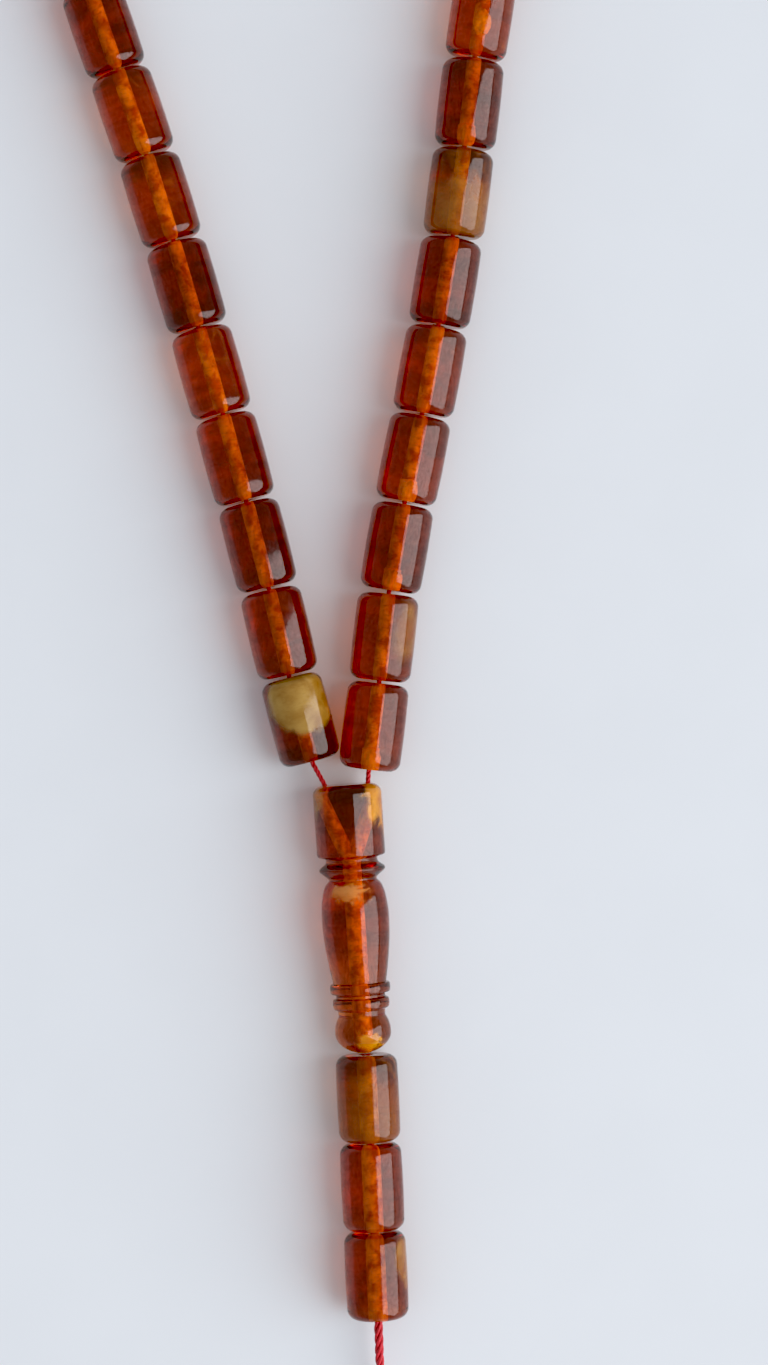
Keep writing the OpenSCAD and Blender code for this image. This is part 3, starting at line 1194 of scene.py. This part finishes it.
# ---- room
@dataclass
class Studio:
    """Pale sheet, window light and the camera overhead."""

    view_high: float = 174.72       # mm of the sheet from the view's top to its bottom
    view_from_top: Triple = (4.8, 13.0, -0.5)   # mm from the imam's top to the middle of the view
    lens: float = 90.0
    sheet: float = 3.0
    window_x: float = 1.5
    window_near_y: float = -1.60
    window_far_y: float = 0.40
    window_sill: float = 0.16
    window_high: float = 3.96
    window_bright: float = 3.2
    window_tint: Colour = (1.0, 0.975, 0.965)
    room_bright: float = 0.50
    room_tint: Colour = (0.89, 0.93, 1.0)
    deepest: Colour = (0.016, 0.018, 0.024)     # what shows as black

    def camera(self) -> None:
        """Places the camera straight above."""
        data = bpy.data.cameras.new("overhead")
        data.lens, data.sensor_width = self.lens, 36.0
        data.clip_start, data.clip_end = 0.01, 20
        eye = bpy.data.objects.new("overhead", data)
        bpy.context.scene.collection.objects.link(eye)
        middle = pivot_of("strand") + Vector(self.view_from_top) * MM
        height = self.view_high / 2 * MM * self.lens / (data.sensor_width / 2)
        eye.location = (middle.x, middle.y, middle.z + height)
        bpy.context.scene.camera = eye

    def floor(self) -> None:
        """Lays the sheet."""
        half = self.sheet / 2
        corners = [Vector((x * half, y * half, 0)) for x, y in ((-1, -1), (1, -1), (1, 1), (-1, 1))]
        sheet = make_piece("sheet", corners, [(0, 1, 2, 3)], [PaperFinish().build("pale_sheet")])

    def window(self) -> None:
        """Hangs the tall window to the right, whose reflection is the pale strip on every bead."""
        data = bpy.data.lights.new("window", "AREA")
        data.shape = "RECTANGLE"
        data.size, data.size_y = self.window_far_y - self.window_near_y, self.window_high
        data.energy = self.window_bright * math.pi * data.size * data.size_y
        data.color = self.window_tint
        lamp = bpy.data.objects.new("window", data)
        bpy.context.scene.collection.objects.link(lamp)
        lamp.location = (self.window_x, (self.window_far_y + self.window_near_y) / 2,
                         self.window_sill + self.window_high / 2)
        lamp.rotation_mode = "QUATERNION"
        lamp.rotation_quaternion = Vector((1, 0, 0)).to_track_quat("Z", "Y")

    def light(self) -> None:
        """Sets the window and the room's own light."""
        world = bpy.data.worlds.new("room")
        bpy.context.scene.world = world
        world.use_nodes = True
        back = world.node_tree.nodes["Background"]
        back.inputs["Color"].default_value = (*self.room_tint, 1.0)
        back.inputs["Strength"].default_value = self.room_bright
        self.window()

    def build(self) -> None:
        """Sets the whole room."""
        self.camera()
        self.floor()
        self.light()
        view = bpy.context.scene.view_settings
        view.view_transform = "Standard"
        view.use_curve_mapping = True
        view.curve_mapping.black_level = self.deepest
        view.curve_mapping.update()


# ---- the strand's own ambers
GOLD, STRAW = (0.80, 0.36, 0.02), (0.92, 0.56, 0.06)
OLIVE, MOSS = (0.24, 0.10, 0.010), (0.42, 0.25, 0.065)
TAN, SAND = (0.25, 0.065, 0.004), (0.40, 0.18, 0.035)
UMBER, RUST = (0.24, 0.045, 0.002), (0.34, 0.10, 0.006)
HONEYED = {13, 16, 19, 22}      # paler beads round the far end


def looks() -> dict[str, Look]:
    """The look of every bead, by node.

    Returns:
        One look for each bead, divider and tail bead.
    """
    spark = Cloud((0.1, 0.3, 4.2), (0.8, 0.95, 1.5), GOLD, STRAW, 0.16)
    # glow sets the strength of the painted glow on each bead's bore wall
    chosen = {
        "bead_01": Look(Amber.CHERRY, 0.3, (),
                        (Patch((-0.8, 3.0, 2.4), (4.4, 3.8, 4.4), OLIVE, MOSS, 1.0, 0.18, 0.12),)),
        "bead_02": Look(Amber.COGNAC, 0.5, glow=0.09),
        "bead_03": Look(Amber.CHERRY, 0.5, glow=0.17),
        "bead_04": Look(Amber.COGNAC, 0.4, glow=0.10),
        "bead_05": Look(Amber.HONEY, 0.5, glow=0.12),
        "bead_06": Look(Amber.CHERRY, 0.4, glow=0.11),
        "bead_07": Look(Amber.HONEY, 0.8),
        "bead_08": Look(Amber.HONEY, 0.7, glow=0.15),
        "bead_09": Look(Amber.COGNAC, 0.5),
        "bead_33": Look(Amber.COGNAC, -0.4, (spark,)),
        "bead_32": Look(Amber.COGNAC, -0.4, (),
                        (Patch((3.0, 2.6, -1.0), (2.0, 2.6, 3.6), TAN, SAND, 0.55, 0.35, 0.3),)),
        "bead_31": Look(Amber.CHERRY, -0.4, (spark,)),
        "bead_30": Look(Amber.COGNAC, -0.5, (spark,)),
        "bead_29": Look(Amber.COGNAC, -0.5, glow=0.19),
        "bead_28": Look(Amber.CHERRY, -0.4),
        "bead_27": Look(Amber.OCHRE, -0.9, (),
                        (Patch((0.6, 2.0, 3.2), (6.5, 5.0, 5.0), TAN, SAND, 0.45, 0.22, 0.16),)),
        "bead_26": Look(Amber.CHERRY, -0.5, (spark,)),
        "bead_25": Look(Amber.HONEY, 0.0, (Cloud((0.2, 0.8, 1.2), (0.8, 0.7, 1.6), GOLD, STRAW, 0.2),)),
        "tail_bead_1": Look(Amber.OCHRE, -0.9, (),
                            (Patch((-0.5, 2.2, 2.6), (6.0, 4.5, 5.4), UMBER, RUST, 0.4, 0.35, 0.2),)),
        "tail_bead_2": Look(Amber.COGNAC, -0.3),
        "tail_bead_3": Look(Amber.COGNAC, -0.5, (),
                            (Patch((3.8, 1.4, -2.0), (1.6, 2.6, 3.0), TAN, SAND, 0.8, 0.4, 0.2),)),
        "divider_left": Look(Amber.HONEY),
        "divider_right": Look(Amber.HONEY),
    }
    draw = random.Random(5)
    for i in range(1, BEAD_COUNT + 1):
        node = f"bead_{i:02d}"
        if node not in chosen:
            reds = [Amber.CHERRY, Amber.COGNAC, Amber.COGNAC]
            amber = Amber.HONEY if i in HONEYED else draw.choice(reds)
            dark_end = draw.choice([-0.8, 0.0, 0.0, 0.6])
            chosen[node] = Look(amber, dark_end, (spark,) if draw.random() < 0.3 else ())
    return chosen


def main() -> None:
    """Builds the misbaha and its room."""
    logging.basicConfig(level=logging.INFO, format="%(message)s")
    Studio().build()
    tassel = Tassel().build()
    dress_cords()
    for node, look in looks().items():
        kind = Divider if node.startswith("divider") else BarrelBead
        piece = kind(node, look, bore=1.6) if node.startswith("tail") else kind(node, look)
        piece.build()
    ImamBead().build()
    LOG.info("beads turned: %d", len(looks()))


if __name__ == "__main__":
    main()
    bpy.context.view_layer.update()
